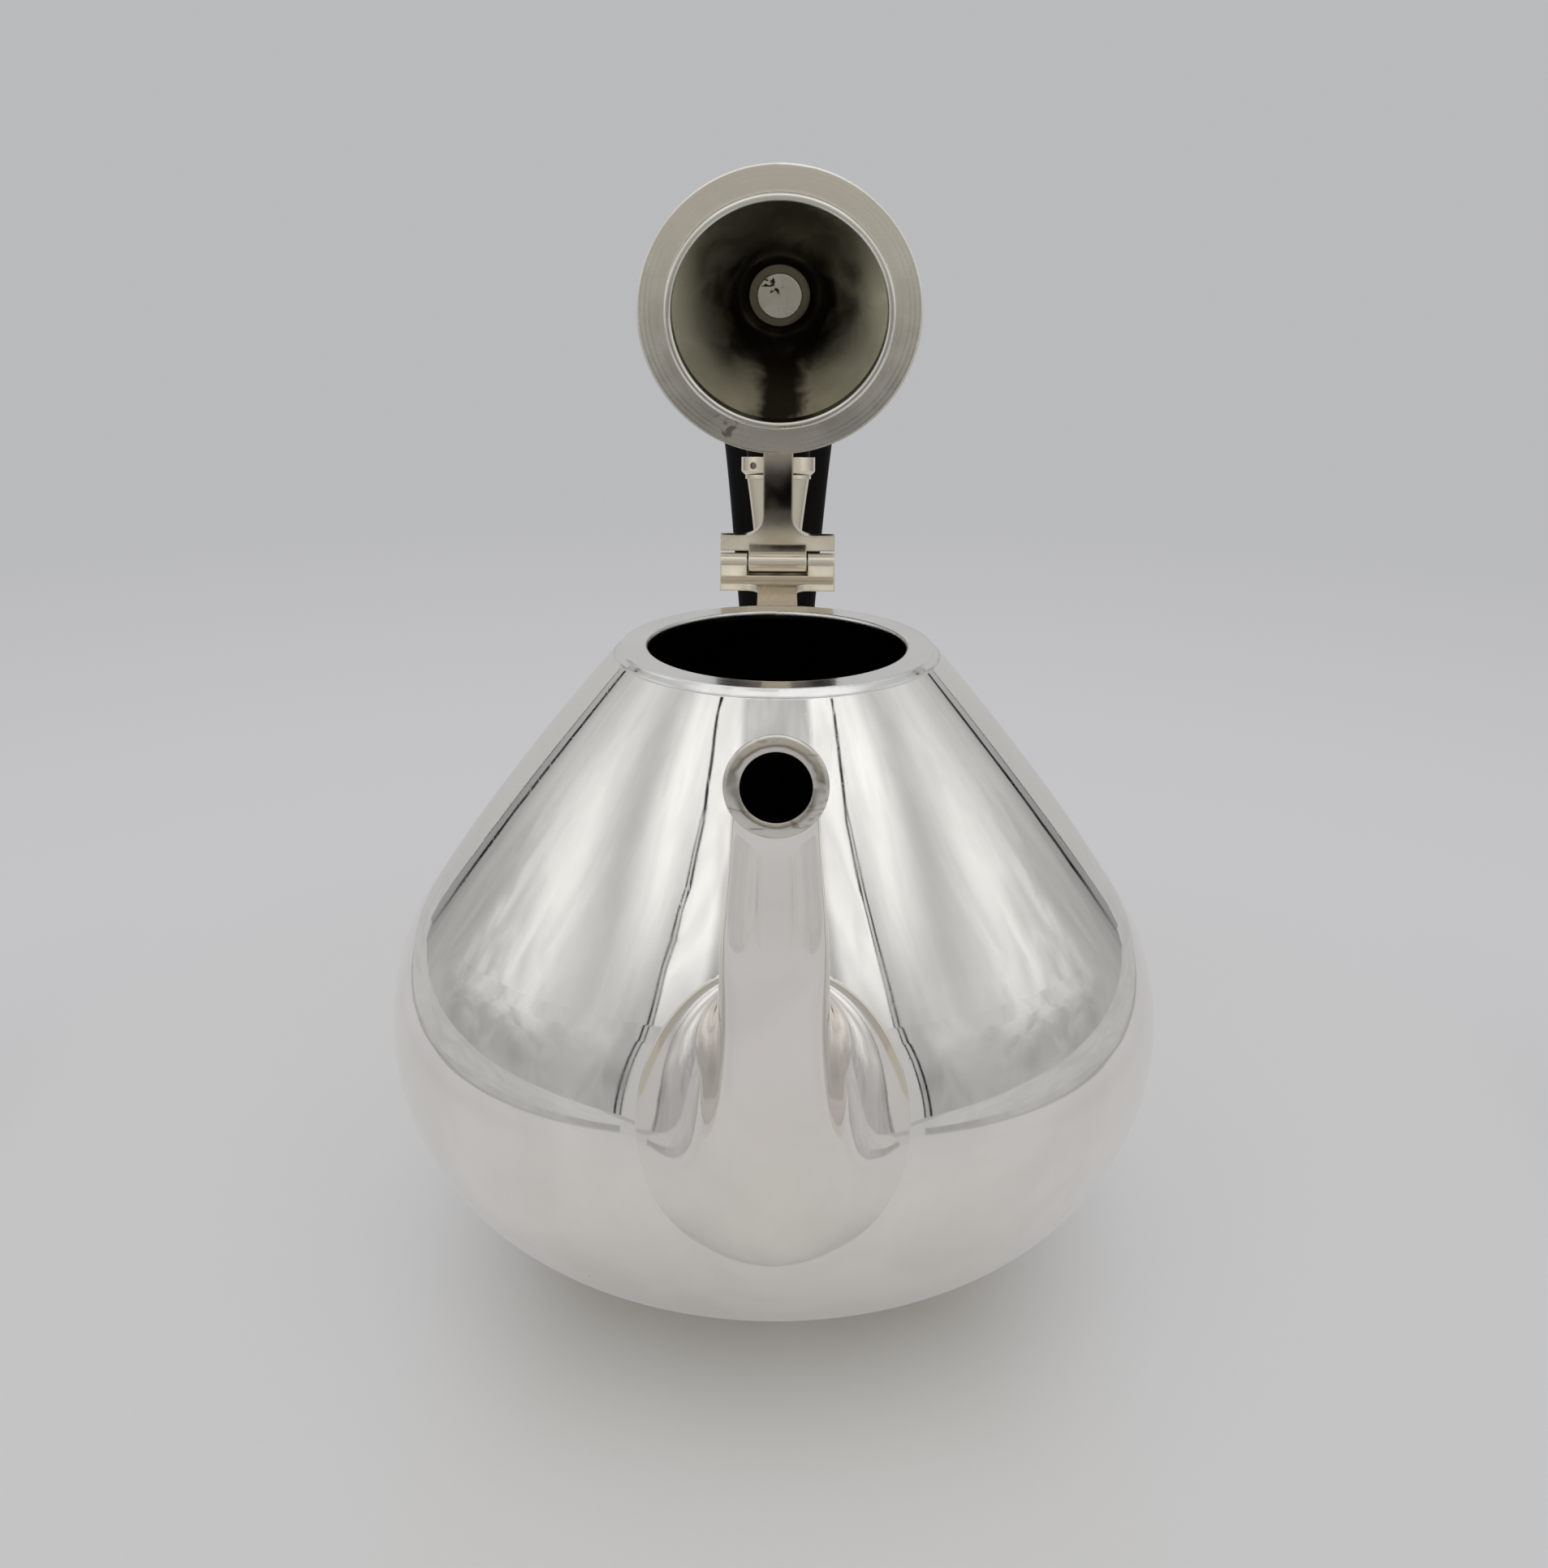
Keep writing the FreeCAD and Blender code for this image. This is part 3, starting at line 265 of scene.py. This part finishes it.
def lid_painted_reflections(paint, coordinates):
    """The cone's inner face, with painted reflections and shade: dull at its foot, nearly black half
    way up, a dim ring at its tip.

    Painted shade makes it duller near the hinge, a painted reflection of the hinge black beside it,
    and painted light paler on the far side.
    """
    place, normal = lid_frame(paint, coordinates)
    mask = paint.math("LESS_THAN", paint.split(normal)[2], 0.0)
    mottle = paint.noise(place, 150.0, 5.0, 0.5)
    x, y, _ = paint.split(place)
    radius = paint.vector("LENGTH", paint.vector("MULTIPLY", place, FLAT))
    radius = paint.math("ADD", radius, paint.span(mottle, 0.3, 0.7, -1.2 * MM, 1.2 * MM))
    # Painted reflections and shade, from the cone's foot to its tip.
    foot = paint.mix(paint.span(y, -3 * MM, 11 * MM), LID_FOOT, LID_HINGE_SHADE)
    shade = paint.mix(paint.span(radius, 9.5 * MM, 16 * MM), LID_DARK_REFLECTION, foot)
    shade = paint.mix(paint.span(radius, 9 * MM, 5 * MM), shade, LID_TIP_REFLECTION)
    shade = paint.mix(paint.span(y, -4 * MM, -17 * MM, 0.0, 0.7), shade, LID_FAR_REFLECTION)
    aside = paint.math("ADD", paint.math("ABSOLUTE", x), paint.span(mottle, 0.3, 0.7, -1.6 * MM, 1.6 * MM))
    # Painted reflection of the hinge, black beside it.
    hinge_reflection = paint.math("MULTIPLY", paint.span(aside, 7 * MM, 2 * MM), paint.span(y, 5 * MM, 12 * MM))
    shade = paint.mix(hinge_reflection, shade, LID_DARK_REFLECTION)
    return mask, shade, paint.span(mottle, 0.3, 0.7, 0.16, 0.27)


def flange_stain_and_reflection(paint, coordinates):
    """The flange: painted dark reflection towards the hinge, a stain beside it, a few small dark spots."""
    place, _ = lid_frame(paint, coordinates)
    spread = paint.noise(place, 420.0, 3.0, 1.0)
    reach = paint.vector("DISTANCE", paint.vector("MULTIPLY", place, FLAT), STAIN_PLACE)
    stain = paint.span(
        paint.math("ADD", reach, paint.span(spread, 0.3, 0.7, -1.3 * MM, 1.3 * MM)), 2.4 * MM, 0.8 * MM
    )
    spotted = paint.spots(place, 190.0, 0.26 * MM, 0.16)
    mask = paint.math("MAXIMUM", paint.math("MULTIPLY", stain, 0.85), spotted)
    # Painted dark reflection, stronger towards the hinge.
    mask = paint.math("MAXIMUM", mask, paint.span(paint.split(place)[1], -6 * MM, 27 * MM, 0.0, 0.45))
    return mask, FLANGE_STAIN_AND_REFLECTION, 0.4


def lip_brown_creases(paint, coordinates):
    """Brown creases in the cast lip."""
    drawn = paint.vector("MULTIPLY", coordinates.outputs["Object"], (160.0, 160.0, 420.0))
    crease = paint.noise(drawn, 1.0, 4.0, 1.5)
    return paint.span(crease, 0.52, 0.72, 0.0, 0.55), LIP_CREASE, 0.3


def stud_wear(paint, coordinates):
    """A burnt flaw on the stud's head."""
    place, _ = lid_frame(paint, coordinates)
    spread = paint.noise(place, 600.0, 3.0, 1.0)
    reach = paint.vector("DISTANCE", paint.vector("MULTIPLY", place, (0.7, 1.0, 0.0)), BURN_PLACE)
    reach = paint.math("ADD", reach, paint.span(spread, 0.3, 0.7, -1.3 * MM, 1.3 * MM))
    return paint.span(reach, 1.3 * MM, 0.5 * MM), BURN, 0.4


POT_SILVER = silver("pot_silver", (0.94, 0.918, 0.865), (0.02, 0.055), stains_and_painted_shade=pot_inside)
BASE_SILVER = silver("base_silver", (0.84, 0.83, 0.80), (0.12, 0.3), scratch=3.0, stains_and_painted_shade=base_inside)
RIM_SILVER = silver("rim_silver", (0.90, 0.89, 0.87), (0.04, 0.10), wave=0.01, soft=0.6, lathe=pot_axis)
SPOUT_SILVER = silver("spout_silver", (0.92, 0.878, 0.825), (0.03, 0.08), stains_and_painted_shade=spout_bore_shade)
LIP_SILVER = silver(
    "lip_silver", (0.76, 0.73, 0.67), (0.09, 0.2), wave=0.2, swell=170.0, recess=0.002, stains_and_painted_shade=lip_brown_creases
)
HINGE_SILVER = silver(
    "hinge_silver",
    (0.84, 0.775, 0.655),
    (0.10, 0.22),
    wave=0.02,
    soft=0.5,
    scratch=1.2,
    recess=0.0009,
    joined=True,
)
SOCKET_SILVER = silver(
    "socket_silver", (0.88, 0.805, 0.645), (0.10, 0.22), wave=0.03, scratch=1.5, recess=0.0012, joined=True
)
PIN_SILVER = silver("pin_silver", (0.30, 0.27, 0.22), (0.25, 0.4), wave=0.01, scratch=2.0)
INNER_SILVER = silver("inner_silver", (0.74, 0.72, 0.66), (0.12, 0.28), wave=0.05, scratch=3.0, pits=0.5)
STUD_SILVER = silver(
    "stud_silver", (0.66, 0.64, 0.57), (0.12, 0.25), wave=0.06, swell=170.0, stains_and_painted_shade=stud_wear
)
LID_SILVER = silver("lid_silver", (0.90, 0.88, 0.83), (0.03, 0.08), stains_and_painted_shade=lid_painted_reflections)
FLANGE_SILVER = silver(
    "flange_silver",
    (0.97, 0.945, 0.865),
    (0.15, 0.24),
    scratch=0.7,
    pits=0.05,
    stains_and_painted_shade=flange_stain_and_reflection,
    lathe=lid_axis,
)
BEZEL_SILVER = silver("bezel_silver", (0.90, 0.88, 0.82), (0.06, 0.14), wave=0.012, lathe=lid_axis)


WOOD_DARK = colour(0.0015, 0.0013, 0.0013)
WOOD_PALE = colour(0.006, 0.005, 0.0045)
WOOD_BROWN = colour(0.010, 0.0065, 0.0045)


def black_wood(name, grain):
    """Dark close-grained wood, waxed; grain is how the place is stretched along the fibres."""
    material, paint = new_paint(name)
    place = paint.node("TexCoord", {}).outputs["Object"]
    fibre = paint.noise(paint.vector("MULTIPLY", place, grain), 1.0, 6.0, 0.8)
    pore = paint.span(fibre, 0.60, 0.72)
    patch = paint.noise(place, 60.0, 3.0)
    shade = paint.mix(paint.span(fibre, 0.3, 0.7), WOOD_DARK, WOOD_PALE)
    shade = paint.mix(paint.span(patch, 0.5, 0.8, 0.0, 0.6), shade, WOOD_BROWN)
    rough = paint.span(paint.math("ADD", fibre, patch), 0.6, 1.4, 0.38, 0.6)
    normal = paint.bump(pore, -0.02 * MM, None)
    shader = paint.node(
        "BsdfPrincipled",
        {"Base Color": shade, "Roughness": rough, "Specular IOR Level": 0.08, "Normal": normal},
    )
    paint.show(shader)
    return material


GRIP_WOOD = black_wood("grip_wood", (900.0, 260.0, 60.0))
KNOB_WOOD = black_wood("knob_wood", (900.0, 60.0, 900.0))

FINISHES = {
    "body_shell": POT_SILVER,
    "base_plate": BASE_SILVER,
    "rim_ring": RIM_SILVER,
    "spout_tube": SPOUT_SILVER,
    "spout_lip": LIP_SILVER,
    "spout_strainer": INNER_SILVER,
    "hinge_body_leaf": HINGE_SILVER,
    "hinge_pin": HINGE_SILVER,
    "hinge_lid_leaf": HINGE_SILVER,
    "handle_grip": GRIP_WOOD,
    "upper_socket": SOCKET_SILVER,
    "upper_collar": SOCKET_SILVER,
    "upper_pin": PIN_SILVER,
    "lower_socket": SOCKET_SILVER,
    "lower_collar": SOCKET_SILVER,
    "lower_pin": PIN_SILVER,
    "lid_shell": LID_SILVER,
    "lid_flange": FLANGE_SILVER,
    "lid_bezel": BEZEL_SILVER,
    "lid_knob": KNOB_WOOD,
    "knob_stud": STUD_SILVER,
}
for name, material in FINISHES.items():
    node = NODES[name]
    node.data.materials.clear()
    node.data.materials.append(material)


# A tent of white cloth round the pot, open in front, where a dim room is.
TENT_SIDE = 0.25
TENT_FRONT = -0.31
TENT_BACK = 0.25
TENT_TOP = 0.55
FLAP_BOTTOM = 0.26
FRONT_OPENING = 0.14
SEAM_INSET = 0.001
FOOT_HEIGHT = 0.005
HEM_WIDTH = 0.09
HEM_TOP = 0.048
HEM_EDGE = 0.030
CLOTH_TINT = colour(0.975, 0.985, 1.0)
WHITE = colour(1.0, 1.0, 1.0)
ROOM_TINT = colour(1.0, 0.95, 0.85)
# Bright places on the side walls: the middle of each, as X (not used), Y and Z.
LAMP = (0.0, -0.015, 0.187)
UPPER_LAMP = (0.0, 0.04, 0.27)
FRONT_LAMP = (0.0, -0.17, 0.395)
ROOM_FRONT = -0.8
ROOM_HALF_WIDTH = 0.7
ROOM_TOP = 0.5
FLOOR_HALF_WIDTH = 6.0


def glow(name, shine):
    """A lit surface; shine gives its brightness from the paint and the place."""
    material, paint = new_paint(name)
    place = paint.node("NewGeometry", {}).outputs["Position"]
    tint, strength = shine(paint, place)
    paint.show(paint.node("Emission", {"Color": tint, "Strength": strength}))
    return material


def side_shine(paint, place):
    """Cloth with lamps behind it: dim at its front and back edges, and near the floor."""
    _, depth, height = paint.split(place)
    flat = paint.join(0.0, depth, height)
    from_lamp = paint.vector("DISTANCE", flat, LAMP)
    front = paint.math(
        "MULTIPLY",
        paint.span(depth, -0.215, -0.265),
        paint.span(paint.math("ABSOLUTE", paint.math("SUBTRACT", height, 0.23)), 0.15, 0.09, 0.0, -0.10),
    )
    low = paint.math(
        "MULTIPLY", paint.span(height, 0.05, 0.015), paint.span(depth, -0.25, -0.10, -0.03, 0.05)
    )
    parts = (
        paint.span(height, 0.08, 0.22, 0.41, 0.57),
        low,
        paint.span(from_lamp, 0.14, 0.0, 0.0, 0.30),
        paint.span(paint.vector("DISTANCE", flat, UPPER_LAMP), 0.12, 0.0, 0.0, 0.12),
        paint.span(paint.vector("DISTANCE", flat, FRONT_LAMP), 0.145, 0.02, 0.0, 0.42),
        paint.span(height, 0.40, 0.53, 0.0, 0.36),
        paint.span(depth, 0.13, 0.21, 0.0, -0.12),
        front,
    )
    strength = parts[0]
    for part in parts[1:]:
        strength = paint.math("ADD", strength, part)
    drape = paint.vector("MULTIPLY", flat, (1.0, 1.0, 0.5))
    fold = paint.span(paint.noise(drape, 20.0, 2.0, 0.8), 0.3, 0.7, 0.94, 1.06)
    crinkle = paint.span(paint.noise(flat, 30.0, 3.0, 0.6), 0.35, 0.65, -0.16, 0.12)
    creased = paint.math(
        "MULTIPLY", paint.span(from_lamp, 0.20, 0.05), paint.span(height, 0.21, 0.13, 0.15, 1.0)
    )
    crinkle = paint.math("MULTIPLY", crinkle, creased)
    return CLOTH_TINT, paint.math("MULTIPLY", strength, paint.math("ADD", fold, crinkle))


def front_shine(paint, place):
    """The two strips of cloth beside the opening in front."""
    height = paint.split(place)[2]
    return CLOTH_TINT, paint.span(height, 0.0, 0.22, 0.53, 0.55)


def flap_shine(paint, place):
    """Loose cloth over the front and the roof, grey where its two halves part."""
    across, depth, height = paint.split(place)
    fold = paint.span(paint.noise(place, 9.0, 2.0, 1.2), 0.3, 0.7, 0.86, 1.04)
    fold = paint.math("MULTIPLY", fold, paint.span(height, 0.30, 0.39, 0.56, 1.0))
    parted = paint.math(
        "MULTIPLY",
        paint.span(paint.math("ABSOLUTE", across), 0.155, 0.12),
        paint.span(depth, -0.19, -0.225, 0.0, 0.38),
    )
    return CLOTH_TINT, paint.math("MAXIMUM", paint.math("SUBTRACT", fold, parted), 0.42)


def back_shine(paint, place):
    """The wall behind the pot."""
    height = paint.split(place)[2]
    return WHITE, paint.span(height, 0.0, 0.5, 0.50, 0.62)


def seam_shine(paint, place):
    """Dark piping, lost in the cloth near the floor."""
    _, depth, height = paint.split(place)
    worn = paint.span(paint.noise(place, 45.0, 2.0), 0.4, 0.6, 0.005, 0.04)
    lost_from = paint.span(depth, -0.2, 0.2, 0.05, 0.10)
    return CLOTH_TINT, paint.math("MAXIMUM", worn, paint.span(height, lost_from, 0.03, 0.0, 0.38))


def foot_shine(paint, place):
    """The wall's foot, below the hem."""
    depth = paint.split(place)[1]
    return WHITE, paint.span(depth, -0.12, 0.0, 0.42, 0.38)


def hem_shine(paint, place):
    """The loose hem along the wall's foot, dark towards the front corner."""
    depth = paint.split(place)[1]
    fold = paint.span(paint.noise(place, 34.0, 3.0, 0.8), 0.3, 0.7, 0.95, 1.04)
    corner = paint.span(depth, -0.275, -0.24, 0.78, 1.0)
    strength = paint.math("MULTIPLY", corner, paint.span(depth, -0.18, -0.08, 0.545, 0.505))
    return CLOTH_TINT, paint.math("MULTIPLY", fold, strength)


def room_shine(paint, place):
    """The dim room that the pot sees through the opening."""
    height = paint.split(place)[2]
    return ROOM_TINT, paint.span(height, -0.02, 0.2, 0.08, 0.46)


def panel(name, corners, material, seen=False, faces=None):
    """A sheet, one face unless faces are given; seen: whether the camera sees it."""
    mesh = bpy.data.meshes.new(name)
    mesh.from_pydata(corners, [], faces or [range(len(corners))])
    mesh.materials.append(material)
    thing = bpy.data.objects.new(name, mesh)
    bpy.context.scene.collection.objects.link(thing)
    thing.visible_camera = seen


def upright(x, y_from, y_to, z_from, z_to):
    """Corners of a wall across X."""
    return [(x, y_from, z_from), (x, y_to, z_from), (x, y_to, z_to), (x, y_from, z_to)]


def facing(y, x_from, x_to, z_from, z_to):
    """Corners of a wall across Y."""
    return [(x_from, y, z_from), (x_to, y, z_from), (x_to, y, z_to), (x_from, y, z_to)]


def level(z, half_width, y_from, y_to):
    """Corners of a sheet across Z."""
    return [(-half_width, y_from, z), (half_width, y_from, z), (half_width, y_to, z), (-half_width, y_to, z)]


def ribbon(name, path, width, material):
    """A strip along a path, its face towards the pot."""
    path = [Vector(point) for point in path]
    corners = []
    for index, point in enumerate(path):
        along = path[min(index + 1, len(path) - 1)] - path[max(index - 1, 0)]
        across = along.cross(point - POT_MIDDLE).normalized() * width / 2
        corners.append((point - across, point + across))
    strip = [edge[0] for edge in corners] + [edge[1] for edge in reversed(corners)]
    count = len(path)
    faces = [(i, i + 1, 2 * count - 2 - i, 2 * count - 1 - i) for i in range(count - 1)]
    panel(name, strip, material, faces=faces)


SIDE_CLOTH = glow("side_cloth", side_shine)
FRONT_CLOTH = glow("front_cloth", front_shine)
FLAP_CLOTH = glow("flap_cloth", flap_shine)
BACK_CLOTH = glow("back_cloth", back_shine)
SEAM = glow("seam", seam_shine)
FOOT = glow("foot", foot_shine)
HEM = glow("hem", hem_shine)
ROOM = glow("room", room_shine)
POT_MIDDLE = Vector((0.0, 0.0, 0.08))

# The tent's edges in front bend inwards under the roof; those behind go straight up.
FRONT_EDGE = [
    (0.249, -0.309, 0.0),
    (0.249, -0.309, 0.12),
    (0.249, -0.309, 0.30),
    (0.249, -0.309, 0.45),
    (0.249, -0.295, 0.53),
    (0.247, -0.250, 0.547),
    (0.243, -0.200, 0.549),
    (0.226, -0.180, 0.549),
]
BACK_EDGE = [(0.249, 0.249, 0.0), (0.249, 0.249, 0.12), (0.249, 0.249, 0.30), (0.249, 0.249, 0.549)]
# Each seam: its edge, its shift in Y and its width.
SEAMS = {
    "front_main": (FRONT_EDGE, 0.0, 0.013),
    "front_fine": (FRONT_EDGE, 0.017, 0.006),
    "back_main": (BACK_EDGE, 0.0, 0.034),
    "back_fine": (BACK_EDGE, -0.052, 0.016),
}

for side, word in ((-1, "left"), (1, "right")):
    wall = side * TENT_SIDE
    near_wall = side * (TENT_SIDE - SEAM_INSET)
    opening = side * FRONT_OPENING
    panel("tent_" + word, upright(wall, TENT_FRONT, TENT_BACK, 0, TENT_TOP), SIDE_CLOTH)
    panel("tent_front_" + word, facing(TENT_FRONT, opening, wall, 0, FLAP_BOTTOM), FRONT_CLOTH)
    panel("tent_foot_" + word, upright(near_wall, TENT_FRONT, TENT_BACK, 0, FOOT_HEIGHT), FOOT)
    hem = side * (TENT_SIDE - HEM_WIDTH)
    hem_corners = [
        (wall, TENT_FRONT, HEM_TOP),
        (wall, TENT_BACK, HEM_TOP),
        (hem, TENT_BACK, HEM_EDGE),
        (hem, TENT_FRONT, HEM_EDGE),
    ]
    panel("tent_hem_" + word, hem_corners, HEM)
    for seam, (edge, shift, width) in SEAMS.items():
        path = [(side * x, y + shift, z) for x, y, z in edge]
        ribbon("seam_%s_%s" % (seam, word), path, width, SEAM)
panel("tent_roof", level(TENT_TOP, TENT_SIDE, TENT_FRONT, TENT_BACK), FLAP_CLOTH)
panel("tent_flap", facing(TENT_FRONT, -TENT_SIDE, TENT_SIDE, FLAP_BOTTOM, TENT_TOP), FLAP_CLOTH)
panel("tent_back", facing(TENT_BACK, -TENT_SIDE, TENT_SIDE, 0, TENT_TOP), BACK_CLOTH)
panel("room_front", facing(ROOM_FRONT, -ROOM_HALF_WIDTH, ROOM_HALF_WIDTH, 0, ROOM_TOP), ROOM)

# Floor: paper that takes the pot's shadow, going over into an even pale ground further away.
# Beside the pot, painted light lifts that shadow as if lamps stood at the sides, more so in reflections.
GROUND_NEAR = colour(0.560, 0.555, 0.572)
GROUND_FAR = colour(0.490, 0.492, 0.500)
PAPER = 0.90
SHADOW_REACH = (0.05, 0.24)
SIDE_LIGHT_ON_FLOOR = (0.05, 0.64)
SIDE_LIGHT_IN_REFLECTIONS = (0.42, 0.68)
SIDE_LIGHT_REACH = (0.03, 0.075)
PAPER_TINT = (1.0, 0.99, 0.955)
PAPER_VARIATION = 0.02
ROOM_LIGHT = colour(0.40, 0.375, 0.34)

FLOOR, paint = new_paint("floor_paper")
place = paint.node("NewGeometry", {}).outputs["Position"]
away = paint.vector("LENGTH", place)
rays = paint.node("LightPath", {}).outputs
tooth = paint.noise(place, 900.0, 4.0)
paper_shade = paint.mix(
    paint.noise(place, 14.0, 3.0),
    colour(*(PAPER * part for part in PAPER_TINT)),
    colour(*((PAPER + PAPER_VARIATION) * part for part in PAPER_TINT)),
)
paper = paint.node(
    "BsdfPrincipled",
    {"Base Color": paper_shade, "Roughness": 0.75, "Normal": paint.bump(tooth, 0.02 * MM, None)},
)
ground = paint.node("Emission", {"Color": paint.mix(paint.span(away, 0.2, 0.7), GROUND_NEAR, GROUND_FAR)})
beside = paint.math("ABSOLUTE", paint.split(place)[0])
far = paint.span(away, *SHADOW_REACH)
# Painted light: the pale ground lifts the shadow beside the pot, more so in reflections.
seen = paint.math("MAXIMUM", far, paint.span(beside, *SIDE_LIGHT_REACH, *SIDE_LIGHT_ON_FLOOR))
mirrored = paint.math("MAXIMUM", far, paint.span(beside, *SIDE_LIGHT_REACH, *SIDE_LIGHT_IN_REFLECTIONS))
even = paint.math(
    "MAXIMUM",
    paint.math("MULTIPLY", rays["Is Camera Ray"], seen),
    paint.math("MULTIPLY", rays["Is Glossy Ray"], mirrored),
)
paint.show(paint.node("MixShader", {0: even, 1: paper.outputs[0], 2: ground.outputs[0]}))
panel("floor", level(0, FLOOR_HALF_WIDTH, -FLOOR_HALF_WIDTH, FLOOR_HALF_WIDTH), FLOOR, seen=True)

world = bpy.data.worlds.new("room")
bpy.context.scene.world = world
world.use_nodes = True
paint = Paint(world.node_tree)
rays = paint.node("LightPath", {}).outputs
sky = paint.mix(rays["Is Camera Ray"], ROOM_LIGHT, GROUND_FAR)
paint.node("OutputWorld", {0: paint.node("Background", {"Color": sky}).outputs[0]})

camera_data = bpy.data.cameras.new("camera")
camera_data.sensor_fit = "HORIZONTAL"
camera_data.sensor_width = SENSOR_WIDTH
camera_data.lens = SENSOR_WIDTH * FOCAL_PIXELS / PICTURE_WIDTH
camera = bpy.data.objects.new("camera", camera_data)
bpy.context.scene.collection.objects.link(camera)
camera.matrix_world = (
    Matrix.Translation(CAMERA_PLACE)
    @ Matrix.Rotation(math.radians(90 - CAMERA_PITCH), 4, "X")
    @ Matrix.Rotation(math.radians(CAMERA_ROLL), 4, "Z")
)
bpy.context.scene.camera = camera
bpy.context.scene.view_settings.view_transform = "Standard"
